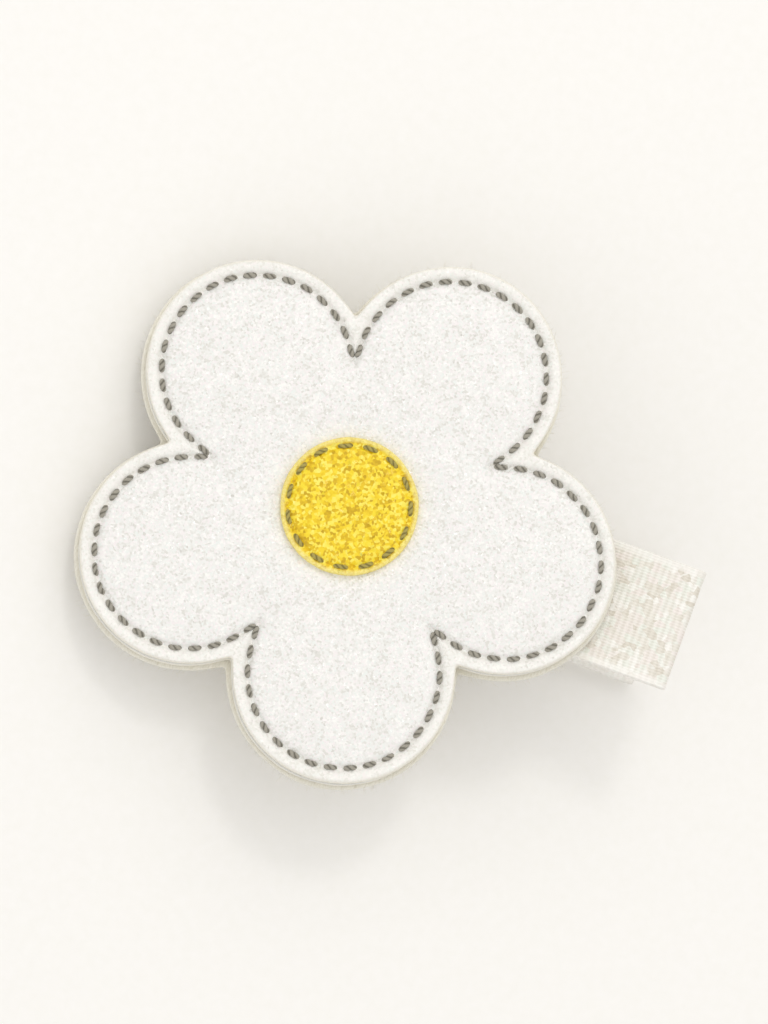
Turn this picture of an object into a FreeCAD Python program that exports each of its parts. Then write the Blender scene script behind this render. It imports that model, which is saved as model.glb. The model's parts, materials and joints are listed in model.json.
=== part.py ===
import FreeCAD, Part
import math
import os
from FreeCAD import Vector

# A flower hair clip: a five-petal sewn flower, glued on the upper lever of a ribbon-lined pinch clip.
#
# Frame, in millimetres: +Z up, X along the clip from its mouth (-X) to its pinch end (+X), Y along
# the hinge pin. The clip lies on the ribbon of its lower lever, which is at Z = 0, and the origin
# is straight under the hinge pin.

os.makedirs("parts", exist_ok=True)

# ---- levers ----
lever_length = 40.0  # steel, from mouth to pinch end
pinch_length = 15.0  # hinge pin to the lever's pinch end
lever_width = 8.0
steel_gauge = 0.6
lever_corner = 1.0  # radius of the lever's four corners, seen from above
closed_angle = 16.0  # between the two levers, in degrees, with the mouth shut
mouth_gap = 0.1  # between the two linings at the mouth

# ---- hinge ----
pin_diameter = 1.6
pin_clearance = 0.05  # all round the pin in the upper lever's ears
head_diameter = 2.6
head_thickness = 0.4
head_round = 0.24  # radius of a rivet head's outer edge
ear_base = 7.0  # width of an ear where it leaves its lever
ear_tip_radius = 2.2
ear_gap = 0.1  # between an upper ear and a lower ear, and between an upper ear and a rivet head
bend_relief = 0.4  # gap beside each lower ear where it is bent up

# ---- spring ----
wire_diameter = 0.7
coil_diameter = 3.2  # to the middle of the wire
coil_turns = 4  # whole turns, before the part turn that brings the legs round
coil_pitch = 0.78
leg_reach = 6.6  # hinge pin to the end of a leg, along the lever
leg_clearance = 0.02  # between a leg's end and its lever

# ---- ribbon ----
ribbon_width = 9.5
ribbon_thickness = 0.35
mouth_lining_end = 5.2  # hinge pin to the end of the lining inside the jaw
pinch_lining_end = 7.6  # hinge pin to the end of the lining inside the pinch end

# ---- flower ----
petal_count = 5
flower_radius = 20.8  # flower's centre to a petal's tip
notch_radius = 14.09  # flower's centre to the point where two petals' circles cross
notch_round = 0.3  # radius that rounds this point
seam_margin = 1.15  # from the seam to the cut edge
seam_corner_depth = 2.99  # from this point in to the seam's corner between two petals
flower_to_hinge = 11.55  # flower's centre to the hinge pin, along the upper lever
felt_overhang = 0.3  # the backing felt is cut this much larger all round
felt_thickness = 0.9
padding_thickness = 0.7
stabiliser_thickness = 0.2
front_thickness = 0.8
glue_thickness = 0.3
glue_start = -9.5  # from the flower's centre, towards the mouth
glue_end = 13.5  # from the flower's centre, towards the pinch end
glue_width = 8.0
glue_corner = 2.0

# ---- thread ----
stitch_pitch = 1.5  # nominal; each petal takes a whole number of stitches
stitch_length = 0.9  # of thread that shows
stitch_width = 0.4
stitch_height = 0.2
bobbin_height = 0.2
ring_count = 15
ring_stitch_length = 1.0
ring_stitch_width = 0.35

# ---- centre, a disc sewn on the front sheet ----
disc_diameter = 10.4
disc_thickness = 0.6
disc_edge_round = 0.2
disc_seam_margin = 0.6  # from the ring of stitches to the disc's cut edge

# ---- worked out ----
half_angle = math.radians(closed_angle / 2)
mouth_length = lever_length - pinch_length
lined_mouth_length = mouth_length + ribbon_thickness
# The hinge pin is so far above the lining that the linings just meet at the mouth.
lining_face = lined_mouth_length * math.tan(half_angle) + mouth_gap / (2 * math.cos(half_angle))
steel_inner = lining_face + ribbon_thickness
steel_outer = steel_inner + steel_gauge
ribbon_outer = steel_outer + ribbon_thickness
hinge_height = ribbon_outer
upper_ear_outer = lever_width / 2
upper_ear_inner = upper_ear_outer - steel_gauge
lower_ear_outer = upper_ear_inner - ear_gap
lower_ear_inner = lower_ear_outer - steel_gauge
flower_base = ribbon_outer + glue_thickness
petal_angle = 2 * math.pi / petal_count
# A petal is part of the circle that has its tip on the petal's axis and goes through both notches.
petal_offset = (flower_radius**2 - notch_radius**2) / (
    2 * (flower_radius - notch_radius * math.cos(petal_angle / 2))
)
edge_radius = flower_radius - petal_offset
stitch_radius = edge_radius - seam_margin
seam_corner = notch_radius - seam_corner_depth
ring_radius = disc_diameter / 2 - disc_seam_margin


# ---- places ----
# Each jaw is drawn about the hinge pin, with its lever on the +Z side.
def place_lower(shape):
    turned = shape.mirror(Vector(0, 0, 0), Vector(0, 0, 1))
    turned.translate(Vector(0, 0, hinge_height))
    return turned


def place_upper(shape):
    moved = shape.copy()
    moved.rotate(Vector(0, 0, 0), Vector(0, 1, 0), -closed_angle)
    moved.translate(Vector(0, 0, hinge_height))
    return moved


def place_flower(shape):
    """From the flower's own frame: origin at its centre, on the back of its felt."""
    moved = shape.copy()
    moved.translate(Vector(-flower_to_hinge, 0, flower_base))
    return place_upper(moved)


def along(angle, radius, height=0.0):
    return Vector(radius * math.cos(angle), radius * math.sin(angle), height)


# ---- levers and ribbons ----
def long_slot(x_low, x_high, z_low, z_high, width):
    """A bar along X with fully rounded ends, seen from the side, centred on Y = 0."""
    radius = (z_high - z_low) / 2
    z_mid = z_low + radius
    left = x_low + radius
    right = x_high - radius
    y = -width / 2
    edges = [
        Part.LineSegment(Vector(left, y, z_low), Vector(right, y, z_low)).toShape(),
        Part.Arc(Vector(right, y, z_low), Vector(x_high, y, z_mid), Vector(right, y, z_high)).toShape(),
        Part.LineSegment(Vector(right, y, z_high), Vector(left, y, z_high)).toShape(),
        Part.Arc(Vector(left, y, z_high), Vector(x_low, y, z_mid), Vector(left, y, z_low)).toShape(),
    ]
    return Part.Face(Part.Wire(edges)).extrude(Vector(0, width, 0))


def rounded_plate(x_low, x_high, width, corner, z_low, thickness):
    """A flat plate with rounded corners, centred on Y = 0."""
    plate = Part.makeBox(x_high - x_low, width, thickness, Vector(x_low, -width / 2, z_low))
    upright = [e for e in plate.Edges if abs(e.Vertexes[0].Z - e.Vertexes[1].Z) > thickness / 2]
    return plate.makeFillet(corner, upright)


def ear(y_inner, y_outer):
    """A tapered ear with a round tip about the hinge pin, on the +Y side."""
    top = steel_inner + steel_gauge / 2
    half = ear_base / 2
    reach = math.hypot(half, steel_inner)
    # The ear's sides leave the lever's inner face and are tangent to the tip.
    tangent_angle = math.atan2(steel_inner, half) - math.acos(ear_tip_radius / reach)
    touch = along(tangent_angle, ear_tip_radius)
    points = [
        Vector(touch.x, y_inner, touch.y),
        Vector(half, y_inner, steel_inner),
        Vector(half, y_inner, top),
        Vector(-half, y_inner, top),
        Vector(-half, y_inner, steel_inner),
        Vector(-touch.x, y_inner, touch.y),
    ]
    edges = [Part.LineSegment(a, b).toShape() for a, b in zip(points, points[1:])]
    tip = Vector(0, y_inner, -ear_tip_radius)
    edges.append(Part.Arc(points[-1], tip, points[0]).toShape())
    return Part.Face(Part.Wire(edges)).extrude(Vector(0, y_outer - y_inner, 0))


def lever(ear_inner, ear_outer, hole_radius):
    bar = long_slot(-mouth_length, pinch_length, steel_inner, steel_outer, lever_width)
    outline = rounded_plate(-mouth_length, pinch_length, lever_width, lever_corner, steel_inner, steel_gauge)
    body = bar.common(outline)
    if ear_outer < lever_width / 2:
        notch_length = ear_base + 2 * bend_relief
        notch_depth = lever_width / 2 - ear_outer
        for y in (ear_outer, -lever_width / 2):
            corner = Vector(-notch_length / 2, y, steel_inner)
            body = body.cut(Part.makeBox(notch_length, notch_depth, steel_gauge, corner))
    one = ear(ear_inner, ear_outer)
    body = body.fuse([one, one.mirror(Vector(0, 0, 0), Vector(0, 1, 0))])
    hole = Part.makeCylinder(hole_radius, lever_width, Vector(0, -lever_width / 2, 0), Vector(0, 1, 0))
    return body.cut(hole).removeSplitter()


def lining():
    """A ribbon glued along the lever's outside, folded round both ends and along the inside."""
    outer = long_slot(
        -lined_mouth_length, pinch_length + ribbon_thickness, lining_face, ribbon_outer, ribbon_width
    )
    inner = long_slot(-mouth_length, pinch_length, steel_inner, steel_outer, ribbon_width)
    bare = Part.makeBox(
        mouth_lining_end + pinch_lining_end,
        ribbon_width,
        ribbon_thickness,
        Vector(-mouth_lining_end, -ribbon_width / 2, lining_face),
    )
    return outer.cut([inner, bare])


def hinge_pin():
    """A rivet through the four ears, tight in the lower lever's two."""
    head_face = upper_ear_outer + ear_gap
    shank = Part.makeCylinder(
        pin_diameter / 2, 2 * head_face, Vector(0, -head_face, 0), Vector(0, 1, 0)
    )
    heads = []
    for side in (-1, 1):
        start = Vector(0, side * head_face, 0)
        head = Part.makeCylinder(head_diameter / 2, head_thickness, start, Vector(0, side, 0))
        rim = [e for e in head.Edges if abs(e.BoundBox.Center.y) > head_face + head_thickness / 2]
        heads.append(head.makeFillet(head_round, [e for e in rim if e.Closed and len(e.Vertexes) == 1]))
    return shank.fuse(heads).removeSplitter()


def torsion_spring():
    """A coil round the hinge pin, with a straight leg to the inside of each lever's pinch end."""
    radius = coil_diameter / 2
    wire_radius = wire_diameter / 2
    # A leg is a tangent of the coil that ends on its lever, so far below the hinge pin.
    drop = steel_inner - wire_radius - leg_clearance
    leg_angle = math.atan2(drop, leg_reach) - math.asin(radius / math.hypot(leg_reach, drop))
    leg_length = math.sqrt(leg_reach**2 + drop**2 - radius**2)
    lower_touch = -math.pi / 2 - leg_angle
    upper_touch = math.pi / 2 + leg_angle + math.radians(closed_angle)
    turned = 2 * math.pi * coil_turns + (2 * math.pi + lower_touch - upper_touch)
    height = coil_pitch * turned / (2 * math.pi)
    helix = Part.makeHelix(coil_pitch, height, radius)
    # The helix climbs anticlockwise about +Z, which becomes clockwise in the X-Z plane seen from -Y.
    lead = coil_pitch / (2 * math.pi * radius)
    start = Vector(radius, 0, 0)
    end = along(turned, radius, height)
    back = Vector(0, -1, -lead).normalize() * leg_length
    onward = Vector(-math.sin(turned), math.cos(turned), lead).normalize() * leg_length
    edges = [Part.LineSegment(start + back, start).toShape()]
    edges += helix.Edges
    edges.append(Part.LineSegment(end, end + onward).toShape())
    path = Part.Wire(Part.__sortEdges__(edges))
    section = Part.Wire(Part.Circle(start + back, back, wire_radius).toShape())
    wire = path.makePipeShell([section], True, True)
    wire.translate(Vector(0, 0, -height / 2))
    wire.rotate(Vector(0, 0, 0), Vector(1, 0, 0), -90)
    wire.rotate(Vector(0, 0, 0), Vector(0, 1, 0), math.degrees(-lower_touch))
    wire.translate(Vector(0, 0, hinge_height))
    return wire


# ---- flower ----
def flower_sheet(z_low, thickness, overhang=0.0):
    """A sheet cut to the flower's outline: round petals that meet in small round notches."""
    radius = edge_radius + overhang
    reach = radius + notch_round
    half_pitch = petal_offset * math.sin(petal_angle / 2)
    notch_centre = petal_offset * math.cos(petal_angle / 2) + math.sqrt(reach**2 - half_pitch**2)
    edges = []
    for i in range(petal_count):
        axis = i * petal_angle
        petal = along(axis, petal_offset, z_low)
        before = along(axis - petal_angle / 2, notch_centre, z_low)
        after = along(axis + petal_angle / 2, notch_centre, z_low)
        later = along(axis + petal_angle, petal_offset, z_low)
        share = radius / reach
        first = petal + (before - petal) * share
        last = petal + (after - petal) * share
        onward = later + (after - later) * share
        inside = along(axis + petal_angle / 2, notch_centre - notch_round, z_low)
        tip = along(axis, petal_offset + radius, z_low)
        edges.append(Part.Arc(first, tip, last).toShape())
        edges.append(Part.Arc(last, inside, onward).toShape())
    return Part.Face(Part.Wire(edges)).extrude(Vector(0, 0, thickness))


def seam_stitches():
    """The middle and the direction of every stitch of the seam."""
    corner_x = seam_corner * math.cos(petal_angle / 2) - petal_offset
    corner_y = seam_corner * math.sin(petal_angle / 2)
    corner_reach = math.hypot(corner_x, corner_y)
    straight = math.sqrt(corner_reach**2 - stitch_radius**2)
    arc_half = math.atan2(corner_y, corner_x) - math.acos(stitch_radius / corner_reach)
    arc_length = 2 * arc_half * stitch_radius
    total = arc_length + 2 * straight
    count = round(total / stitch_pitch)

    def point(s):
        """The seam round one petal, along +X, at the length s from its first corner."""
        if s < straight:
            angle, beyond = -arc_half, s - straight
        elif s > straight + arc_length:
            angle, beyond = arc_half, s - straight - arc_length
        else:
            angle, beyond = -arc_half + (s - straight) / stitch_radius, 0.0
        at = Vector(petal_offset, 0, 0) + along(angle, stitch_radius)
        return at + along(angle + math.pi / 2, beyond)

    found = []
    for i in range(petal_count):
        for j in range(count):
            a = point(total * j / count)
            b = point(total * (j + 1) / count)
            middle = (a + b) * 0.5
            turn = i * petal_angle
            angle = math.atan2(middle.y, middle.x) + turn
            direction = math.atan2(b.y - a.y, b.x - a.x) + turn
            found.append((along(angle, middle.Length), direction))
    return found


def thread_bar(middle, direction, length, width, z_low, height):
    """One stitch: a flat bar with round ends."""
    radius = width / 2
    straight = length / 2 - radius
    forward = along(direction, 1.0)
    side = Vector(-forward.y, forward.x, 0) * radius
    centre = middle + Vector(0, 0, z_low)
    ahead = centre + forward * straight
    behind = centre - forward * straight
    edges = [
        Part.LineSegment(behind + side, ahead + side).toShape(),
        Part.Arc(ahead + side, ahead + forward * radius, ahead - side).toShape(),
        Part.LineSegment(ahead - side, behind - side).toShape(),
        Part.Arc(behind - side, behind - forward * radius, behind + side).toShape(),
    ]
    return Part.Face(Part.Wire(edges)).extrude(Vector(0, 0, height))


def ring_stitches(z_low):
    bars = []
    for i in range(ring_count):
        angle = 2 * math.pi * (i + 0.5) / ring_count
        middle = along(angle, ring_radius)
        bars.append(
            thread_bar(
                middle, angle + math.pi / 2, ring_stitch_length, ring_stitch_width, z_low, stitch_height
            )
        )
    return Part.makeCompound(bars)


def centre_disc(z_low):
    disc = Part.makeCylinder(disc_diameter / 2, disc_thickness, Vector(0, 0, z_low))
    rim = [e for e in disc.Edges if e.Closed and e.BoundBox.Center.z > z_low + disc_thickness / 2]
    return disc.makeFillet(disc_edge_round, rim)


# ---- nodes ----
felt_face = felt_thickness
padding_face = felt_face + padding_thickness
stabiliser_face = padding_face + stabiliser_thickness
front_face = stabiliser_face + front_thickness
seam = seam_stitches()
outline = [thread_bar(m, d, stitch_length, stitch_width, front_face, stitch_height) for m, d in seam]
bobbin = [thread_bar(m, d, stitch_length, stitch_width, -bobbin_height, bobbin_height) for m, d in seam]
glue = rounded_plate(glue_start, glue_end, glue_width, glue_corner, -glue_thickness, glue_thickness)
rivet = hinge_pin()
rivet.translate(Vector(0, 0, hinge_height))

nodes = {
    "lower_lever": place_lower(lever(lower_ear_inner, lower_ear_outer, pin_diameter / 2)),
    "lower_ribbon": place_lower(lining()),
    "hinge_pin": rivet,
    "torsion_spring": torsion_spring(),
    "upper_lever": place_upper(lever(upper_ear_inner, upper_ear_outer, pin_diameter / 2 + pin_clearance)),
    "upper_ribbon": place_upper(lining()),
    "flower_glue": place_flower(glue),
    "backing_felt": place_flower(flower_sheet(0.0, felt_thickness, felt_overhang)),
    "padding_sheet": place_flower(flower_sheet(felt_face, padding_thickness)),
    "stabiliser_sheet": place_flower(flower_sheet(padding_face, stabiliser_thickness)),
    "front_sheet": place_flower(flower_sheet(stabiliser_face, front_thickness)),
    "centre_disc": place_flower(centre_disc(front_face)),
    "centre_stitches": place_flower(ring_stitches(front_face + disc_thickness)),
    "outline_stitches": place_flower(Part.makeCompound(outline)),
    "bobbin_stitches": place_flower(Part.makeCompound(bobbin)),
}

for name, shape in nodes.items():
    shape.exportStep(f"parts/{name}.step")
    print(name, len(shape.Solids), round(shape.Volume, 3), shape.isValid())
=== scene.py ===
import bmesh
import bpy
import json
import math
import numpy as np
from mathutils import Matrix, Vector


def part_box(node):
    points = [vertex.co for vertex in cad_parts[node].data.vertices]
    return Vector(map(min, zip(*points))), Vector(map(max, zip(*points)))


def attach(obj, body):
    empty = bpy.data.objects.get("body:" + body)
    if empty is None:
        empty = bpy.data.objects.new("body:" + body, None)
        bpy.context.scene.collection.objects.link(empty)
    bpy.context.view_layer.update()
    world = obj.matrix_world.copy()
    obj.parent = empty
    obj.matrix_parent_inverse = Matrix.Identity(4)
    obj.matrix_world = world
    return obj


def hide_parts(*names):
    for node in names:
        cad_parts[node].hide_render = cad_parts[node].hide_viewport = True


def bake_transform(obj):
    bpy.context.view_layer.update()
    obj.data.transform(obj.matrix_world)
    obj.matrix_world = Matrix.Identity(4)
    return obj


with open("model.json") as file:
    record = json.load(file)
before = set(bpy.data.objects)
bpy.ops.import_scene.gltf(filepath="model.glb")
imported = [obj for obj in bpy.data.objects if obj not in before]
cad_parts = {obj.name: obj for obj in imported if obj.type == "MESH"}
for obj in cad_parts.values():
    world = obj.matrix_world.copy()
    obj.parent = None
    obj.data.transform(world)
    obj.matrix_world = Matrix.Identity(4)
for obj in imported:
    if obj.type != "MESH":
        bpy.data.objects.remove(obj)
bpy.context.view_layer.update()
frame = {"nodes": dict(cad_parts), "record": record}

# A flower hair clip: a sewn five-petal flower glued on a ribbon-lined pinch clip.
# Row frame, metres. Pieces of the flower are worked out in the flower's own axes: x along the
# clip to its pinch end, y along the hinge pin, z out of the front. Dictionaries hold millimetres.
mm = 0.001


def cadPoints(node):
    mesh = frame["nodes"][node].data
    found = np.empty(len(mesh.vertices) * 3, np.float32)
    mesh.vertices.foreach_get("co", found)
    return found.reshape(-1, 3).astype(float)


# The hinge's place, and the tilt of the upper jaw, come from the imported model.
hinge = frame["record"]["behaviour"]["joints"][0]
hingePoint = np.array(hinge["pos_m"], float)
frontCad = cadPoints("front_sheet")
spreadAxes = np.linalg.eigh(np.cov((frontCad - frontCad.mean(0)).T))[1]
outward = spreadAxes[:, 0] * np.sign(spreadAxes[2, 0])  # the sheet's thin way is the front's normal
across = np.array([0.0, 1.0, 0.0])
alongClip = np.cross(across, outward)
flowerAxes = np.stack([alongClip, across, outward])
flowerTilt = math.atan2(alongClip[2], alongClip[0])


def localRange(node, centre, axes):
    local = (cadPoints(node) - centre) @ axes.T
    return local.min(0), local.max(0)


discLow, discHigh = localRange("centre_disc", np.zeros(3), flowerAxes)
discMiddle = (discLow + discHigh) / 2
frontFace = discLow[2]
# The flower's origin is the middle of its front face.
flowerOrigin = np.array([discMiddle[0], discMiddle[1], frontFace]) @ flowerAxes


# The node's lowest and highest level in the flower's axes, in metres from the front face.
def levelsOf(node):
    low, high = localRange(node, flowerOrigin, flowerAxes)
    return low[2], high[2]


# sRGB hex to linear: each part is c/12.92 when small, and ((c + 0.055)/1.055)^2.4 above that.
def linearColour(hexText):
    parts = [int(hexText[i : i + 2], 16) / 255 for i in (0, 2, 4)]
    return tuple(c / 12.92 if c <= 0.04045 else ((c + 0.055) / 1.055) ** 2.4 for c in parts) + (1.0,)


# Adds one node. settings are its own properties; inputs are values or the sockets that feed it.
def addNode(material, kind, settings=None, inputs=None):
    node = material.node_tree.nodes.new(kind)
    for key, value in (settings or {}).items():
        setattr(node, key, value)
    for key, value in (inputs or {}).items():
        if isinstance(value, bpy.types.NodeSocket):
            material.node_tree.links.new(value, node.inputs[key])
        else:
            node.inputs[key].default_value = value
    return node


def newMaterial(name):
    material = bpy.data.materials.new(name)
    material.use_nodes = True
    material.node_tree.nodes.clear()
    return material


# Ends a material in one principled shader with these inputs.
def finishMaterial(material, inputs):
    shader = addNode(material, "ShaderNodeBsdfPrincipled", inputs=inputs)
    addNode(material, "ShaderNodeOutputMaterial", inputs={"Surface": shader.outputs[0]})
    return material


# A ramp through hex colours at the given places.
def colourRamp(material, factor, stops):
    node = addNode(material, "ShaderNodeValToRGB", inputs={"Fac": factor})
    ramp = node.color_ramp
    while len(ramp.elements) < len(stops):
        ramp.elements.new(0.5)
    for element, (place, hexText) in zip(ramp.elements, stops):
        element.position = place
        element.color = linearColour(hexText)
    return node.outputs["Color"]


# Moves coordinates by a turn in radians, then a scale.
def mappingNode(material, place, turn, scale):
    inputs = {"Vector": place, "Rotation": turn, "Scale": scale}
    return addNode(material, "ShaderNodeMapping", inputs=inputs).outputs[0]


# Object coordinates in millimetres, turned level with the flower and then stretched.
def millimetreSpace(material, stretch=(1.0, 1.0, 1.0)):
    place = addNode(material, "ShaderNodeTexCoord").outputs["Object"]
    level = mappingNode(material, place, (0.0, flowerTilt, 0.0), (1 / mm,) * 3)
    return mappingNode(material, level, (0.0, 0.0, 0.0), stretch)


def mathNode(material, operation, first, second=0.0, third=0.0):
    inputs = {0: first, 1: second, 2: third}
    return addNode(material, "ShaderNodeMath", {"operation": operation}, inputs).outputs[0]


def vectorNode(material, operation, inputs):
    return addNode(material, "ShaderNodeVectorMath", {"operation": operation}, inputs).outputs[0]


def mixColour(material, factor, first, second, blend="MIX"):
    settings = {"data_type": "RGBA", "blend_type": blend}
    return addNode(material, "ShaderNodeMix", settings, {0: factor, 6: first, 7: second}).outputs[2]


def noiseNode(material, place, scale, detail, roughness=0.5):
    inputs = {"Vector": place, "Scale": scale, "Detail": detail, "Roughness": roughness}
    return addNode(material, "ShaderNodeTexNoise", inputs=inputs).outputs[0]


# Takes a value from its own range to the new one, and stops at its ends.
def rangeNode(material, value, fromLow, fromHigh, toLow=0.0, toHigh=1.0):
    inputs = {"Value": value, "From Min": fromLow, "From Max": fromHigh, "To Min": toLow, "To Max": toHigh}
    return addNode(material, "ShaderNodeMapRange", inputs=inputs).outputs[0]


# Relief in the shading alone; depth is in metres.
def bumpNode(material, height, strength, depth, normal=None):
    inputs = {"Height": height, "Strength": strength, "Distance": depth}
    if normal is not None:
        inputs["Normal"] = normal
    return addNode(material, "ShaderNodeBump", inputs=inputs).outputs[0]


# Quads between neighbours of a grid of points numbered row by row, each row a closed loop.
def gridFaces(rows, columns):
    row, column = np.meshgrid(np.arange(rows - 1), np.arange(columns), indexing="ij")
    nextColumn = (column + 1) % columns
    quads = [row * columns + column, row * columns + nextColumn]
    quads += [(row + 1) * columns + nextColumn, (row + 1) * columns + column]
    return np.stack(quads, -1).reshape(-1, 4)


# The same with its first row and its last each closed by a fan to one more point.
def fannedFaces(rows, columns):
    step = np.arange(columns)
    ahead = (step + 1) % columns
    last = (rows - 1) * columns
    first = np.full(columns, rows * columns)
    faces = gridFaces(rows, columns)[:, ::-1].tolist()
    faces += np.stack([first, step, ahead], -1).tolist()
    faces += np.stack([first + 1, last + ahead, last + step], -1).tolist()
    return faces


def newObject(name, data):
    made = bpy.data.objects.new(name, data)
    bpy.context.scene.collection.objects.link(made)
    return made


# The piece takes the place of an imported node, which is hidden.
def standFor(node):
    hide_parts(node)


# Puts whole arrays into a mesh in the row frame. uv has one row per point; attributes are per point.
def makePiece(name, points, faces, material, body="upper_jaw", uv=None, attributes=None):
    mesh = bpy.data.meshes.new(name)
    mesh.from_pydata(points.reshape(-1, 3).tolist(), [], [list(face) for face in faces])
    if uv is not None:
        layer = mesh.uv_layers.new(name="UVMap")
        corner = np.empty(len(mesh.loops), np.int32)
        mesh.loops.foreach_get("vertex_index", corner)
        layer.data.foreach_set("uv", uv.reshape(-1, 2)[corner].astype(np.float32).ravel())
    for key, values in (attributes or {}).items():
        data = mesh.attributes.new(key, "FLOAT", "POINT").data
        data.foreach_set("value", values.astype(np.float32).ravel())
    mesh.polygons.foreach_set("use_smooth", np.ones(len(mesh.polygons), bool))
    mesh.validate()
    mesh.update()
    piece = newObject(name, mesh)
    mesh.materials.append(material)
    if body:
        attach(piece, body)
    return piece


# From the flower's axes, in millimetres, to the row frame in metres.
def flowerToRow(points):
    return flowerOrigin + (np.asarray(points) * mm) @ flowerAxes


# A sum of sine waves in random directions, halving in size, between about -1 and 1.
def wavyNoise(x, y, seed, scale, octaves=3):
    random = np.random.default_rng(seed)
    total = np.zeros_like(x)
    for octave in range(octaves):
        wave = 2 * np.pi * 2**octave / scale
        for turn, phase in random.random((4, 2)) * 2 * np.pi:
            total += np.sin(wave * (x * np.cos(turn) + y * np.sin(turn)) + phase) / 2**octave
    return total / 4


print("frame read: tilt", round(math.degrees(flowerTilt), 2), "degrees")

flower = {
    "petals": 5,
    "seamMargin": 1.15,  # seam to cut edge
    "seamCorner": 11.1,  # centre to the seam's corner between two petals
    "notchSoftness": 0.9,  # degrees over which the notch between two petals is rounded
    "stitchPitch": 1.5,
    "seamSink": 0.16,  # how far the seam is pulled down
    "seamReach": 0.34,  # distance at which its groove dies away
    "holeSink": 0.2,
    "holeReach": 0.24,
    "puff": 0.3,  # how far a petal's middle stands over its seam
    "puffReach": 1.7,
    "puffPower": 1.5,
    "puffBlend": 2.4,  # distance over which it rises beyond the flat part under the disc
    "rimPuff": 0.14,
    "rimReach": 0.4,
    "unevenness": 0.035,
    "traceCount": 1500,
}
halfPetal = math.pi / flower["petals"]
edgePoints = (cadPoints("front_sheet") - flowerOrigin) @ flowerAxes.T / mm
# Only the edge of the petal on the x axis, clear of its notches.
edgePoints = edgePoints[np.abs(np.arctan2(edgePoints[:, 1], edgePoints[:, 0])) < halfPetal * 0.8]
edgePoints = edgePoints[edgePoints[:, 0] > 1]
# A petal is a circle centred on the x axis, so x^2 + y^2 = 2 c x + (r^2 - c^2) at its edge.
slope, rest = np.polyfit(edgePoints[:, 0], edgePoints[:, 0] ** 2 + edgePoints[:, 1] ** 2, 1)
petalCentre = slope / 2
petalRadius = math.sqrt(rest + petalCentre**2)
seamRadius = petalRadius - flower["seamMargin"]


# Centre to the edge of a petal's circle along the angle, with the notch between two petals rounded.
def outlineRadius(angle, radius):
    soft = math.radians(flower["notchSoftness"])
    fromNotch = halfPetal - np.abs((angle + halfPetal) % (2 * halfPetal) - halfPetal)
    eased = np.minimum(halfPetal, np.sqrt(fromNotch**2 + soft**2))
    turned = halfPetal - eased
    return petalCentre * np.cos(turned) + np.sqrt(radius**2 - (petalCentre * np.sin(turned)) ** 2)


cornerX = flower["seamCorner"] * math.cos(halfPetal) - petalCentre
cornerY = flower["seamCorner"] * math.sin(halfPetal)
cornerReach = math.hypot(cornerX, cornerY)
seamStraight = math.sqrt(cornerReach**2 - seamRadius**2)
seamArcHalf = math.atan2(cornerY, cornerX) - math.acos(seamRadius / cornerReach)
seamPetalLength = 2 * seamArcHalf * seamRadius + 2 * seamStraight
stitchesPerPetal = round(seamPetalLength / flower["stitchPitch"])


# The seam at a length along it: a tangent from the corner, round the petal's circle, a tangent to the next.
def seamPoints(length):
    petal, s = np.divmod(length, seamPetalLength)
    arc = np.clip(s - seamStraight, 0, 2 * seamArcHalf * seamRadius)
    beyond = s - seamStraight - arc
    angle = arc / seamRadius - seamArcHalf
    x = petalCentre + seamRadius * np.cos(angle) - beyond * np.sin(angle)
    y = seamRadius * np.sin(angle) + beyond * np.cos(angle)
    turn = petal * 2 * halfPetal
    return np.stack([x * np.cos(turn) - y * np.sin(turn), x * np.sin(turn) + y * np.cos(turn)], -1)


seamLength = flower["petals"] * seamPetalLength
stitchStarts = np.arange(flower["petals"] * stitchesPerPetal) * seamPetalLength / stitchesPerPetal
stitchHoles = seamPoints(stitchStarts + 1e-9)  # a corner's hole belongs to the petal after it
seamTrace = seamPoints(np.linspace(0, seamLength, flower["traceCount"], endpoint=False))


# Distance from each point to the nearest target, in chunks that fit in memory.
def nearest(x, y, targets):
    points = np.stack([x.ravel(), y.ravel()], -1)
    found = [
        np.sqrt(((chunk[:, None] - targets) ** 2).sum(-1).min(1))
        for chunk in np.array_split(points, max(1, len(points) // 3000))
    ]
    return np.concatenate(found).reshape(x.shape)


# Polar angles of points evenly spaced along the seam, so that the grid is fine at the corners.
def seamAngles(count):
    trace = seamPoints(np.arange(count) * seamLength / count)
    return np.unwrap(np.arctan2(trace[:, 1], trace[:, 0]))


sheetGrid = {
    "core": 0.03,  # the innermost ring, as a share of the way to where the rings crowd together
    "innerRings": 18,
    "crowded": 1.3,  # distance inside the seam where they do
    "toSeam": (0.25, 0.45, 0.6, 0.72, 0.82, 0.91, 1.0),
    "toEdge": (0.08, 0.17, 0.28, 0.42, 0.58, 0.76, 0.9, 1.0),
    "turnRings": 5,
    "onSeam": 0.08,  # rings along the seam are this near its trace, which is the trace's own spacing
    "underTurn": 0.1,  # most that the back's edge turns up
    "firstSide": 0.2,  # how much of the cut side's look the first ring of the turn has
    "wobbleReach": 20,
    "wobbleScale": 9,
}


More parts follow.
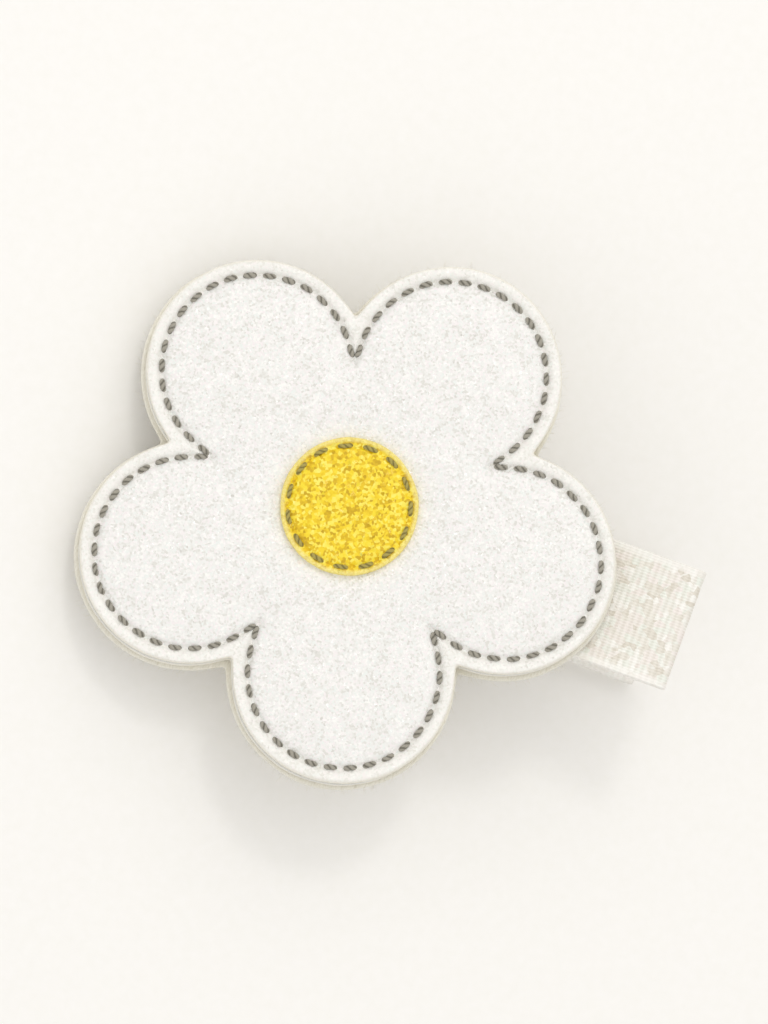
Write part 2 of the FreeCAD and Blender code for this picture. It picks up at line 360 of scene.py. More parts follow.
# A cut sheet as one closed surface over (ring, angle).
#
# A ring is a share of the way from the centre to the seam, then from the seam to the edge; the edge
# turns over a quarter circle, runs down the cut side and turns under. heights(x, y, fromSeam, outside)
# gives how far the top and the bottom stand off their levels.
def sheetPiece(name, node, material, heights, count, overhang, shift, roundness, wobble, seed):
    bottom, top = level[node]
    grid = sheetGrid
    angle = seamAngles(count)
    seam = np.hypot(*seamPoints(np.arange(count) * seamLength / count).T)
    wobblePlace = np.cos(angle) * grid["wobbleReach"], np.sin(angle) * grid["wobbleReach"]
    uneven = wobble * wavyNoise(*wobblePlace, seed, grid["wobbleScale"])
    edge = outlineRadius(angle, petalRadius + overhang) + uneven
    near = seam - grid["crowded"]
    inner = [near * q for q in np.linspace(grid["core"], 1, grid["innerRings"])]
    close = [near + (seam - near) * q for q in grid["toSeam"]]
    flat = edge - roundness
    outer = [seam + (flat - seam) * q for q in grid["toEdge"]]
    quarter = np.linspace(0, np.pi / 2, grid["turnRings"] + 1)[1:]
    turning = [flat + roundness * np.sin(q) for q in quarter]
    face = np.array(inner + close + outer)
    ringRadius = np.concatenate([face, turning, turning[::-1], face[::-1]])
    drop = np.concatenate([np.zeros(len(face)), roundness * (1 - np.cos(quarter))])
    x = ringRadius * np.cos(angle) + shift[0]
    y = ringRadius * np.sin(angle) + shift[1]
    half = len(ringRadius) // 2
    distance = nearest(x[:half], y[:half], seamTrace)
    distance = np.where(distance < grid["onSeam"], 0, distance)
    over, under = heights(x[:half], y[:half], distance, ringRadius[:half] > seam)
    fade = np.concatenate([np.ones(len(face)), np.cos(quarter) ** 2])[:, None]
    upper = top - drop[:, None] + over * fade
    lower = bottom + np.minimum(drop, grid["underTurn"])[:, None] - under * fade
    z = np.concatenate([upper, lower[::-1]])
    points = np.stack([x, y, z], -1).reshape(-1, 3)
    centres = [[shift[0], shift[1], z[0].mean()], [shift[0], shift[1], z[-1].mean()]]
    points = np.concatenate([points, centres])
    turnSide = np.linspace(grid["firstSide"], 1, grid["turnRings"])
    side = np.concatenate([np.zeros(len(face)), turnSide, np.ones(half)])
    side = np.concatenate([np.repeat(side, count), [0, 1]])
    rim = np.concatenate([(ringRadius > seam).astype(float).ravel(), [0, 0]])
    attributes = {"cutSide": side, "rim": rim}
    place = flowerToRow(points)
    return makePiece(name, place, fannedFaces(*z.shape), material, attributes=attributes)


# PVC faux leather with fine polyester glitter pressed in its face: each flake is a cell with its own
# tint, its own small tilt and its own gloss, so the white looks alive without any flake standing out.
# The flake colours are partly the glitter's own tints and partly painted light: the palest flakes are
# painted glints and the darkest are painted shade.
def glitterFauxLeather(name, colours, rimColour, sideColour, sideDark, flake, tilt, mottle):
    material = newMaterial(name)
    place = millimetreSpace(material)
    cells = addNode(material, "ShaderNodeTexVoronoi", inputs={"Vector": place, "Scale": 1 / flake})
    pick = addNode(material, "ShaderNodeSeparateColor", inputs={0: cells.outputs["Color"]})
    share = mathNode(material, "MULTIPLY_ADD", noiseNode(material, place, 1 / mottle, 3.0), 0.9, -0.45)
    # Painted glints and painted shade: flakes are coloured from the palest to the darkest end of the ramp, as
    # if they caught or missed the light.
    face = colourRamp(material, mathNode(material, "ADD", pick.outputs[0], share), colours)
    side = addNode(material, "ShaderNodeAttribute", {"attribute_name": "cutSide"}).outputs["Fac"]
    rim = addNode(material, "ShaderNodeAttribute", {"attribute_name": "rim"}).outputs["Fac"]
    face = mixColour(material, mathNode(material, "MULTIPLY", rim, 0.3), face, linearColour(rimColour))
    weave = noiseNode(material, place, 7.0, 4.0, 0.7)
    cut = colourRamp(material, weave, ((0.35, sideDark), (0.6, sideColour)))
    colour = mixColour(material, side, face, cut)
    gloss = rangeNode(material, pick.outputs[1], 0.72, 0.9, 0.58, 0.16)
    rough = mathNode(material, "MAXIMUM", gloss, mathNode(material, "MULTIPLY", side, 0.85))
    normal = addNode(material, "ShaderNodeNewGeometry").outputs["Normal"]
    lean = vectorNode(material, "SUBTRACT", {0: cells.outputs["Color"], 1: (0.5,) * 3})
    # Most flakes lie nearly flat; the glossy ones lean further and catch the light.
    lying = rangeNode(material, pick.outputs[1], 0.75, 0.9, tilt, tilt * 4.5)
    scaled = vectorNode(material, "SCALE", {0: lean, "Scale": lying})
    turned = vectorNode(material, "ADD", {0: normal, 1: scaled})
    unit = vectorNode(material, "NORMALIZE", {0: turned})
    grain = noiseNode(material, place, 5.0, 4.0, 0.6)
    return finishMaterial(material, {
        "Base Color": colour,
        "Roughness": rough,
        "Normal": bumpNode(material, grain, 0.35, 0.00006, unit),
        "Coat Weight": 0.06,
        "Coat Roughness": 0.35,
    })


# Needle-punched wool-look felt: matted fibres too thin to tell apart, drawn as short curved streaks
# about a tenth of a millimetre wide, with a soft pale bloom at grazing angles from the sheen.
def needledFelt(name, colours, fibre):
    material = newMaterial(name)
    place = millimetreSpace(material)
    bend = addNode(material, "ShaderNodeTexNoise", inputs={"Vector": place, "Scale": 0.7, "Detail": 2.0})
    swirl = mixColour(material, 0.35, place, bend.outputs["Color"], "ADD")
    stretch = (1.0, 0.22, 1.0)
    streaks = [
        noiseNode(material, mappingNode(material, swirl, (0.3, 0.2, turn), stretch), 1 / fibre, 3.0, 0.65)
        for turn in (0.2, 1.3, 2.4)
    ]
    mat = mathNode(material, "MAXIMUM", mathNode(material, "MAXIMUM", streaks[0], streaks[1]), streaks[2])
    return finishMaterial(material, {
        "Base Color": colourRamp(material, mat, colours),
        "Roughness": 0.95,
        "Normal": bumpNode(material, mat, 0.7, 0.00014),
        "Sheen Weight": 0.35,
        "Specular IOR Level": 0.25,
    })


# Twisted trilobal polyester thread: plies wind round it as slanting ridges, with painted shade in the
# seams between them and the crowns of the plies painted lighter, and fine noise breaks up the tone of
# each ply. UV: u round the thread, v in mm along it.
def twistedThread(name, dark, light):
    material = newMaterial(name)
    uv = addNode(material, "ShaderNodeUVMap", {"uv_map": "UVMap"}).outputs[0]
    part = addNode(material, "ShaderNodeSeparateXYZ", inputs={0: uv})
    around = mathNode(material, "MULTIPLY", part.outputs[0], float(thread["plies"]))
    along = mathNode(material, "MULTIPLY", part.outputs[1], thread["plies"] / thread["lay"])
    wound = mathNode(material, "MULTIPLY", mathNode(material, "ADD", around, along), math.pi)
    ridge = mathNode(material, "ABSOLUTE", mathNode(material, "SINE", wound))
    tone = noiseNode(material, millimetreSpace(material), 9.0, 3.0)
    # Painted shade and painted highlight: the colour follows the ply ridges, dark in the seams and light on
    # the crowns.
    shade = mathNode(material, "ADD", ridge, mathNode(material, "MULTIPLY_ADD", tone, 0.7, -0.35))
    return finishMaterial(material, {
        "Base Color": colourRamp(material, shade, ((0.12, dark), (0.8, light))),
        "Roughness": 0.6,
        "Normal": bumpNode(material, ridge, 0.8, 0.00005),
        "Sheen Weight": 0.2,
        "Specular IOR Level": 0.45,
    })


# Polyester grosgrain with a pearly yarn: ribs half a millimetre apart across it, fine warp yarns over
# them, and faint pink, green and grey glints painted into its colour, cell by cell. The furrows between
# ribs and yarns carry painted shade and the woven edges a painted highlight. UV in millimetres: u along
# the ribbon, v across it.
def shimmerRibbon(name, yarn, selvedge):
    material = newMaterial(name)
    uv = addNode(material, "ShaderNodeUVMap", {"uv_map": "UVMap"}).outputs[0]
    part = addNode(material, "ShaderNodeSeparateXYZ", inputs={0: uv})
    ribTurn = mathNode(material, "MULTIPLY", part.outputs[0], 2 * math.pi / ribbon["ribPitch"])
    warpTurn = mathNode(material, "MULTIPLY", part.outputs[1], 2 * math.pi / yarn)
    warp = mathNode(material, "MULTIPLY", mathNode(material, "COSINE", warpTurn), 0.4)
    weave = mathNode(material, "MULTIPLY_ADD", mathNode(material, "COSINE", ribTurn), 0.6, warp)
    cellPlace = mappingNode(material, uv, (0.0, 0.0, 0.0), (1 / ribbon["ribPitch"], 0.5 / yarn, 1.0))
    glint = addNode(material, "ShaderNodeTexVoronoi", inputs={"Vector": cellPlace, "Scale": 1.0})
    pick = addNode(material, "ShaderNodeSeparateColor", inputs={0: glint.outputs["Color"]})
    # Painted glints: each cell of the weave gets a faint pink, green, grey or bright tint standing for the
    # pearly yarn's shimmer.
    tint = colourRamp(material, pick.outputs[0], (
        (0.0, "E3DCCF"), (0.25, "F1EDE3"), (0.5, "F6EEE8"), (0.75, "F0F2E8"), (1.0, "FDFAF4")))
    # Painted shade: the colour darkens in the furrows between the ribs and between the warp yarns.
    shadowed = mathNode(material, "MULTIPLY_ADD", weave, 0.5, 0.5)
    furrowShade = colourRamp(material, shadowed, ((0.0, "CBC5B6"), (0.7, "FFFFFF")))
    colour = mixColour(material, 0.35, tint, furrowShade, "MULTIPLY")
    # Painted highlight: towards the woven edges the colour is mixed with a pale cream, the bright stripe
    # along each selvedge.
    edge = rangeNode(material, mathNode(material, "ABSOLUTE", part.outputs[1]), *selvedge)
    return finishMaterial(material, {
        "Base Color": mixColour(
            material, mathNode(material, "MULTIPLY", edge, 0.6), colour, linearColour("FCFAF4")),
        "Roughness": rangeNode(material, pick.outputs[1], 0.6, 1.0, 0.55, 0.28),
        "Normal": bumpNode(material, weave, 0.6, 0.00004),
        "Sheen Weight": 0.25,
        "Sheen Roughness": 0.35,
        "Specular IOR Level": 0.6,
    })


# Pressed mild steel, bright nickel plated: a warm grey mirror softened by tumbling, with fine
# handling scratches and a slightly duller bloom here and there.
def platedSteel(name, light, dark, roughness, streak):
    material = newMaterial(name)
    bloom = noiseNode(material, millimetreSpace(material), 0.5, 5.0)
    lines = noiseNode(material, millimetreSpace(material, streak), 4.0, 4.0, 0.7)
    return finishMaterial(material, {
        "Base Color": colourRamp(material, bloom, ((0.3, dark), (0.7, light))),
        "Metallic": 1.0,
        "Roughness": rangeNode(material, bloom, 0.3, 0.7, roughness + 0.06, roughness),
        "Normal": bumpNode(material, lines, 0.18, 0.00002),
    })


# Set hot-melt glue: milky, slightly yellow and rubbery smooth, with a faint cloudiness.
def hotMeltGlue(name):
    material = newMaterial(name)
    cloud = noiseNode(material, millimetreSpace(material), 0.8, 3.0)
    return finishMaterial(material, {
        "Base Color": colourRamp(material, cloud, ((0.3, "E4DDC4"), (0.7, "F4F0E2"))),
        "Roughness": 0.3,
        "Normal": bumpNode(material, cloud, 0.3, 0.0001),
        "Subsurface Weight": 0.3,
        "Subsurface Scale": 0.0005,
    })


thread = {
    "radius": 0.18,
    "sides": 14,
    "rings": 19,
    "plies": 2,
    "lay": 0.9,  # mm of thread for one full turn of a ply
    "dive": 0.5,  # how far each end goes down its needle hole
    "straightness": 5.0,  # higher keeps the thread level for longer before it dives
    "holeInset": 0.2,  # share of the pitch between a hole's middle and where its thread comes out
    "lift": 0.16,  # of the thread's middle line over the sunk seam
    "bobbinLift": 0.04,  # of the back threads' middle line into the felt
    "sideStep": 0.03,  # spread of the stitches' sideways lean
    "endThinning": 0.25,
    "sizeSpread": 0.04,
    "flatten": 0.1,
    "valley": 0.86,  # of the radius, between two plies
    "ridge": 0.2,  # of the radius, from there to the top of a ply
    "ridgePower": 0.8,
}
ribbon = {
    "width": 9.5,
    "thickness": 0.35,
    "ribPitch": 0.5,
    "ribHeight": 0.02,
    "selvedge": 0.03,  # how much thicker the woven edge is
    "selvedgeWidth": 0.45,
    "mouthLiningEnd": 5.2,  # hinge pin to where the lining stops inside the mouth
    "pinchLiningEnd": 7.6,
    "samplesPerRib": 5,
    "flatSamples": 23,
    "edgeSamples": 5,
    "edgeWander": 0.04,
    "endThickness": 0.55,  # of the thickness, where the cut end is pressed flat
    "endReach": 0.5,
}
# In both leathers the darkest flake colour is painted shade and the palest a painted glint; the tints between
# are the glitter's own.
pearlLeather = glitterFauxLeather(
    "pearlGlitterFauxLeather",
    ((0.0, "E2E0D9"), (0.25, "EEEDE8"), (0.45, "F3F2EE"), (0.55, "EDF1EC"), (0.68, "F4EDEC"),
     (1.0, "FAF9F4")),
    rimColour="FAF7EC", sideColour="F6F2E4", sideDark="E2DBC6", flake=0.16, tilt=0.14, mottle=1.6)
goldLeather = glitterFauxLeather(
    "yellowGlitterFauxLeather",
    ((0.0, "D0A800"), (0.25, "EAC30C"), (0.45, "F6D41A"), (0.65, "FADF2A"), (1.0, "FFF06A")),
    rimColour="FFEA55", sideColour="FDF0A0", sideDark="E9D36C", flake=0.22, tilt=0.2, mottle=0.9)
creamFelt = needledFelt("creamNeedledFelt", ((0.3, "D8D2C0"), (0.55, "EFEBDD"), (0.75, "F8F5EA")), 0.12)
paddingFelt = needledFelt("paddingFelt", ((0.3, "E2DCCB"), (0.6, "F4F0E3"), (0.8, "FAF8EF")), 0.2)
stabiliserPaper = needledFelt("nonwovenStabiliser", ((0.3, "E0DED6"), (0.6, "F2F1EC"), (0.8, "FAF9F6")), 0.08)
# Each thread's colours run from painted shade in the ply seams to a painted highlight on the ply crowns.
greyThread = twistedThread("greyPolyesterThread", "646054", "A19C8F")
oliveThread = twistedThread("greyPolyesterThreadOnYellow", "74672C", "AB9C4E")
# selvedge gives where the painted highlight along the ribbon's edges starts and is full, in mm from its
# middle.
ribbonFinish = shimmerRibbon("creamShimmerGrosgrain", yarn=0.22, selvedge=(4.15, 4.3))
leverSteel = platedSteel("nickelPlatedSteel", "DAD6CE", "CCC8C0", 0.2, (0.15, 3.0, 3.0))
rivetSteel = platedSteel("nickelPlatedRivet", "CFCCC6", "A9A6A0", 0.25, (1.0, 1.0, 1.0))
springSteel = platedSteel("drawnSpringWire", "C4C3BF", "8F8E8B", 0.2, (0.6, 3.0, 0.6))
glueFinish = hotMeltGlue("hotMeltGlue")
print("materials made")

# Flower sheets, from the front backwards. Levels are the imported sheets' own, in mm from the front face.
flowerNodes = "front_sheet", "stabiliser_sheet", "padding_sheet", "backing_felt", "flower_glue", "centre_disc"
level = {node: np.array(levelsOf(node)) / mm for node in flowerNodes}
backing = {
    "shift": (-0.11, -0.25),  # the layers behind the front sit a little to one side
    "feltOverhang": 0.3,
    "stabiliserOverhang": -0.12,
    "paddingOverhang": -0.05,
    "discClear": 5.0,  # inside this radius the front stays flat under the disc
    "grooveDepth": 0.2,  # of the felt's outer side at the seam
    "grooveReach": 0.45,
    "unevenness": 0.05,
}


def easeStep(low, high, value):
    t = np.clip((value - low) / (high - low), 0, 1)
    return t * t * (3 - 2 * t)


# The front: petals padded up between the seam and the disc, the seam and its needle holes pulled down.
def frontHeights(x, y, fromSeam, outside):
    radius = np.hypot(x, y)
    padding = flower["puff"] * (1 - np.exp(-((fromSeam / flower["puffReach"]) ** flower["puffPower"])))
    padding = padding * easeStep(backing["discClear"], backing["discClear"] + flower["puffBlend"], radius)
    rim = flower["rimPuff"] * (1 - np.exp(-((fromSeam / flower["rimReach"]) ** 2)))
    groove = flower["seamSink"] * np.exp(-((fromSeam / flower["seamReach"]) ** 2))
    holes = flower["holeSink"] * np.exp(-((nearest(x, y, stitchHoles) / flower["holeReach"]) ** 2))
    uneven = flower["unevenness"] * wavyNoise(x, y, 3, 6.5) * easeStep(0.2, 1.5, fromSeam)
    return np.where(outside, rim, padding + uneven) - groove - holes, np.zeros_like(x)


def flatHeights(x, y, fromSeam, outside):
    return np.zeros_like(x), np.zeros_like(x)


# The felt's outer side: pulled in at the seam, softly uneven elsewhere.
def feltHeights(x, y, fromSeam, outside):
    groove = backing["grooveDepth"] * np.exp(-((fromSeam / backing["grooveReach"]) ** 2))
    uneven = backing["unevenness"] * wavyNoise(x, y, 8, 3.5)
    return np.zeros_like(x), uneven * easeStep(0.1, 1.0, fromSeam) - groove


frontSheet = sheetPiece(
    "frontSheet", "front_sheet", pearlLeather, frontHeights, count=900,
    overhang=0, shift=(0, 0), roundness=0.28, wobble=0.02, seed=1)
standFor("front_sheet")
stabiliserSheet = sheetPiece(
    "stabiliserSheet", "stabiliser_sheet", stabiliserPaper, flatHeights, count=400,
    overhang=backing["stabiliserOverhang"], shift=backing["shift"], roundness=0.05, wobble=0.04, seed=2)
standFor("stabiliser_sheet")
paddingSheet = sheetPiece(
    "paddingSheet", "padding_sheet", paddingFelt, flatHeights, count=400,
    overhang=backing["paddingOverhang"], shift=backing["shift"], roundness=0.3, wobble=0.07, seed=4)
standFor("padding_sheet")
backingFelt = sheetPiece(
    "backingFelt", "backing_felt", creamFelt, feltHeights, count=500,
    overhang=backing["feltOverhang"], shift=backing["shift"], roundness=0.2, wobble=0.06, seed=5)
standFor("backing_felt")
print("sheets made")

disc = {
    "radius": 5.2,
    "ringRadius": 4.6,
    "stitches": 15,
    "firstStitch": 0.1,  # radians round from the x axis
    "roundness": 0.2,
    "dome": 0.1,
    "sink": 0.14,
    "sinkReach": 0.28,
    "holeSink": 0.16,
    "holeReach": 0.24,
    "wobble": 0.03,
    "unevenness": 0.02,
    "seated": 0.1,  # how far its back reaches into the front sheet
    "palest": 0.8,  # of the pressed rim, with where the paleness starts and is full, outside the ring
    "palePlace": (0.1, 0.45),
    "rings": 60,
    "turnRings": 5,
    "columns": 300,
}


# The disc: a low dome over (ring, angle), pressed down under its ring of stitches, with a rounded edge.
def makeDisc():
    angle = np.arange(disc["columns"]) * 2 * np.pi / disc["columns"]
    low, high = level["centre_disc"]
    edge = disc["radius"] + disc["wobble"] * wavyNoise(np.cos(angle) * 5, np.sin(angle) * 5, 21, 4)
    flat = edge - disc["roundness"]
    face = np.linspace(0.01, 1, disc["rings"])[:, None] * flat
    quarter = np.linspace(0, np.pi / 2, disc["turnRings"] + 1)[1:, None]
    turning = flat + disc["roundness"] * np.sin(quarter)
    radius = np.concatenate([face, turning])
    x, y = radius * np.cos(angle), radius * np.sin(angle)
    hole = np.stack([np.cos(stitchTurns), np.sin(stitchTurns)], -1) * disc["ringRadius"]
    sink = disc["sink"] * np.exp(-(((radius - disc["ringRadius"]) / disc["sinkReach"]) ** 2))
    sink = sink + disc["holeSink"] * np.exp(-((nearest(x, y, hole) / disc["holeReach"]) ** 2))
    dome = disc["dome"] * (1 - (radius / disc["radius"]) ** 2) + disc["unevenness"] * wavyNoise(x, y, 9, 1.8)
    drop = np.concatenate([np.zeros((len(face), 1)), disc["roundness"] * (1 - np.cos(quarter))])
    upper = high + dome - sink - drop
    back = low - disc["seated"]
    z = np.concatenate([upper, np.full((1, len(angle)), back)])
    x, y = np.concatenate([x, x[-1:]]), np.concatenate([y, y[-1:]])
    centres = [[0, 0, z[0].mean()], [0, 0, back]]
    points = np.concatenate([np.stack([x, y, z], -1).reshape(-1, 3), centres])
    paleStart, paleFull = (disc["ringRadius"] + place for place in disc["palePlace"])
    side = disc["palest"] * easeStep(paleStart, paleFull, np.hypot(x, y))
    attributes = {"cutSide": np.concatenate([side.ravel(), [0, 1]])}
    place = flowerToRow(points)
    return makePiece("centreDisc", place, fannedFaces(*z.shape), goldLeather, attributes=attributes)


stitchTurns = np.arange(disc["stitches"]) * 2 * np.pi / disc["stitches"] + disc["firstStitch"]
centreDisc = makeDisc()
standFor("centre_disc")

# Tubes over (tube, ring, side) round paths of shape (tube, ring, 3): a ring is a circle across the path,
# wider by flatten sideways and lower by it upwards, times swell at each point. Returns the points and
# the closed faces.
def tubes(path, radius, sides, up, flatten=0.0, swell=1.0):
    count, rings = path.shape[:2]
    ahead = np.gradient(path, axis=1)
    ahead /= np.linalg.norm(ahead, axis=-1, keepdims=True)
    sideways = np.cross(ahead, up)
    sideways /= np.linalg.norm(sideways, axis=-1, keepdims=True)
    lift = np.cross(sideways, ahead)
    around = np.arange(sides)[:, None] * 2 * np.pi / sides
    wide, tall = np.cos(around) * sideways[:, :, None], np.sin(around) * lift[:, :, None]
    ring = wide * (1 + flatten) + tall * (1 - flatten)
    size = np.broadcast_to(radius, (count, rings))[:, :, None] * np.broadcast_to(swell, (count, rings, sides))
    points = path[:, :, None] + ring * size[..., None]
    starts = np.arange(count)[:, None, None] * rings * sides
    faces = (gridFaces(rings, sides)[:, ::-1] + starts).reshape(-1, 4).tolist()
    for cap in (np.arange(sides), np.arange(sides)[::-1] + (rings - 1) * sides):
        faces += (cap + starts[:, 0]).tolist()
    return points.reshape(-1, 3), faces


# Stitches: tubes over (stitch, ring, side) from hole to hole. Height falls by |2t - 1| to a power, the
# path keeps to the seam between the holes, and a little side step per stitch keeps them from being perfect.
def stitchRow(name, trace, finish, seed, up, node, thickness=1.0):
    rings, sides = thread["rings"], thread["sides"]
    random = np.random.default_rng(seed)
    t = np.linspace(0, 1, rings)
    path = trace(t)  # (stitch, ring, 3)
    count = len(path)
    lean = random.normal(0, thread["sideStep"], count)[:, None] * np.sin(np.pi * t)
    fromMiddle = np.abs(2 * t - 1)
    rise = up * (1 - fromMiddle ** thread["straightness"]) * thread["dive"] - up * thread["dive"]
    path = path + np.stack([np.zeros_like(lean)] * 2 + [np.broadcast_to(rise, lean.shape)], -1)
    chord = path[:, -1, :2] - path[:, 0, :2]
    chord /= np.linalg.norm(chord, axis=1, keepdims=True)
    path[..., :2] += lean[..., None] * np.stack([chord[:, 1], -chord[:, 0]], -1)[:, None]
    radius = thickness * thread["radius"] * (1 - thread["endThinning"] * fromMiddle**4)
    radius = radius * (1 + random.normal(0, thread["sizeSpread"], (count, 1)))
    length = np.linalg.norm(np.diff(path, axis=1), axis=-1)
    along = np.concatenate([np.zeros((count, 1)), np.cumsum(length, 1)], 1)
    along = along + random.random((count, 1)) * 3  # no two stitches start at the same place in the twist
    u = np.broadcast_to(np.arange(sides) / sides, (count, rings, sides))
    v = np.broadcast_to(along[:, :, None], (count, rings, sides))
    # Each ply is a rounded ridge that winds round the thread: |sin| of its turn plus its way along.
    ply = np.abs(np.sin(np.pi * thread["plies"] * (u + v / thread["lay"])))
    swell = thread["valley"] + thread["ridge"] * ply ** thread["ridgePower"]
    points, faces = tubes(path, radius, sides, [0.0, 0.0, 1.0], thread["flatten"], swell)
    uv = np.stack([u, v], -1)
    piece = makePiece(name, flowerToRow(points), faces, finish, uv=uv)
    standFor(node)


# A stitch starts and ends a little inside its two holes, so the surface shows between stitches.
def insetShare(t):
    return (thread["holeInset"] + (1 - 2 * thread["holeInset"]) * t)[None]


def atHeight(flat, height):
    return np.concatenate([flat, np.full(flat.shape[:2] + (1,), height)], -1)


# Between two needle holes the thread runs nearly straight along the seam, at a height in mm.
def seamTraceAt(height):
    def trace(t):
        length = stitchStarts[:, None] + insetShare(t) * seamPetalLength / stitchesPerPetal
        return atHeight(seamPoints(length), height)
    return trace


def ringTrace(t):
    turn = stitchTurns[:, None] + insetShare(t) * 2 * np.pi / disc["stitches"]
    flat = np.stack([np.cos(turn), np.sin(turn)], -1) * disc["ringRadius"]
    return atHeight(flat, level["centre_disc"][1] - disc["sink"] + thread["lift"])


frontTrace = seamTraceAt(level["front_sheet"][1] - flower["seamSink"] + thread["lift"])
backTrace = seamTraceAt(level["backing_felt"][0] + thread["bobbinLift"])
stitchRow("outlineStitches", frontTrace, greyThread, 31, 1.0, "outline_stitches")
stitchRow("bobbinStitches", backTrace, greyThread, 32, -1.0, "bobbin_stitches")
stitchRow("centreStitches", ringTrace, oliveThread, 33, 1.0, "centre_stitches", 0.85)
print("stitches made")

fuzz = {
    "edgeFibres": 900,
    "underFibres": 700,
    "length": (0.25, 0.7),
    "radius": (0.008, 0.014),
    "taper": 0.6,
    "rings": 6,
    "sides": 3,
    "root": 0.12,  # how far inside the cut edge, and over the back, an edge fibre starts
    "topClear": 0.3,
    "underReach": 0.97,  # of the edge's radius
    "underRoot": 0.08,
    "underOut": 0.2,  # an under fibre's pull outwards, against 1 on the edge
    "spread": 0.45,  # of the directions about straight out
    "edgeRise": 0.5,
    "underDroop": (-0.25, -0.05),
    "curl": 0.3,
    "edgeCurl": 0.4,
    "underCurl": -0.1,
    "lowest": 0.05,
}


# Loose fibres of the felt: hairs over (fibre, ring, side) that start on its cut edge or its back and curl
# away, each a straight way out plus a sideways bend that grows with the square of the distance along it.
def makeFibres():
    random = np.random.default_rng(61)
    count = fuzz["edgeFibres"] + fuzz["underFibres"]
    turn = random.random(count) * 2 * np.pi
    onEdge = np.arange(count) < fuzz["edgeFibres"]
    low, high = level["backing_felt"]
    edge = outlineRadius(turn, petalRadius + backing["feltOverhang"])
    radius = np.where(onEdge, edge - fuzz["root"], edge * np.sqrt(random.random(count)) * fuzz["underReach"])
    rise = (high - low - fuzz["topClear"]) * random.random(count)
    x = radius * np.cos(turn) + backing["shift"][0]
    y = radius * np.sin(turn) + backing["shift"][1]
    start = np.stack([x, y, np.where(onEdge, low + fuzz["root"] + rise, low + fuzz["underRoot"])], -1)
    out = np.stack([np.cos(turn), np.sin(turn), np.zeros(count)], -1)
    way = out * np.where(onEdge, 1.0, fuzz["underOut"])[:, None]
    way += random.normal(0, fuzz["spread"], (count, 3))
    droop, leastDroop = fuzz["underDroop"]
    way[:, 2] = np.where(onEdge, way[:, 2] * fuzz["edgeRise"], droop * np.abs(way[:, 2]) + leastDroop)
    way /= np.linalg.norm(way, axis=1, keepdims=True)
    bend = random.normal(0, fuzz["curl"], (count, 3))
    bend[:, 2] = np.where(onEdge, bend[:, 2] * fuzz["edgeCurl"], fuzz["underCurl"] * np.abs(bend[:, 2]))
    length = random.uniform(*fuzz["length"], count)[:, None, None]
    t = np.linspace(0, 1, fuzz["rings"])[None, :, None]
    path = start[:, None] + length * (way[:, None] * t + bend[:, None] * t**2)
    thick = random.uniform(*fuzz["radius"], (count, 1)) * (1 - fuzz["taper"] * t[..., 0] ** 2)
    # Any direction that no fibre runs along will do as the way up.
    points, faces = tubes(path, thick, fuzz["sides"], [0.31, 0.17, 0.93])
    place = flowerToRow(points)
    place[:, 2] = np.maximum(place[:, 2], fuzz["lowest"] * mm)  # a hair that reaches the table lies on it
    return makePiece("feltFibres", place, faces, creamFelt)


feltFibres = makeFibres()
print("fibres made")

lever = {
    "gauge": 0.6,
    "edgeWidth": 0.09,  # tumbling rounds the pressed edges
    "edgeSegments": 2,
    "edgeAngle": 30.0,
}
leverLow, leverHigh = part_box("lower_lever")
leverEnds = leverLow[0] / mm, leverHigh[0] / mm
steelTop = (hingePoint[2] - leverLow[2]) / mm


# A point of a jaw, drawn about the hinge pin with its lever on top, to the row frame: the upper jaw is
# leant over with the flower, and the lower jaw is the same shape seen in a level mirror.
def jawToRow(points, upper):
    axes = flowerAxes if upper else np.diag([1.0, 1.0, -1.0])
    return hingePoint + (np.asarray(points) * mm) @ axes


# The ribbon's middle line in the jaw's upright plane: inside the mouth, round its tip, along the outside,
# round the pinch tip and back. Straight runs joined by half circles, sampled evenly by length.
def ribbonLine():
    reach = lever["gauge"] / 2 + ribbon["thickness"] / 2
    middle = steelTop - lever["gauge"] / 2
    back, front = leverEnds
    mouthLining, pinchLining = -ribbon["mouthLiningEnd"] - back, front - ribbon["pinchLiningEnd"]
    stops = np.cumsum([0, mouthLining, math.pi * reach, front - back, math.pi * reach, pinchLining])
    s = np.linspace(0, stops[-1], int(stops[-1] / ribbon["ribPitch"] * ribbon["samplesPerRib"]))
    run = np.clip(np.searchsorted(stops, s, side="right") - 1, 0, 4)
    part = s - stops[run]
    sine, cosine, none = np.sin(part / reach), np.cos(part / reach), part * 0
    x = np.choose(run, [
        back + mouthLining - part, back - reach * sine, back + part, front + reach * sine, front - part])
    outX = np.choose(run, [none, -sine, none, sine, none])
    outZ = np.choose(run, [none - 1, -cosine, none + 1, cosine, none - 1])
    return s, x, middle + reach * outZ, outX, outZ


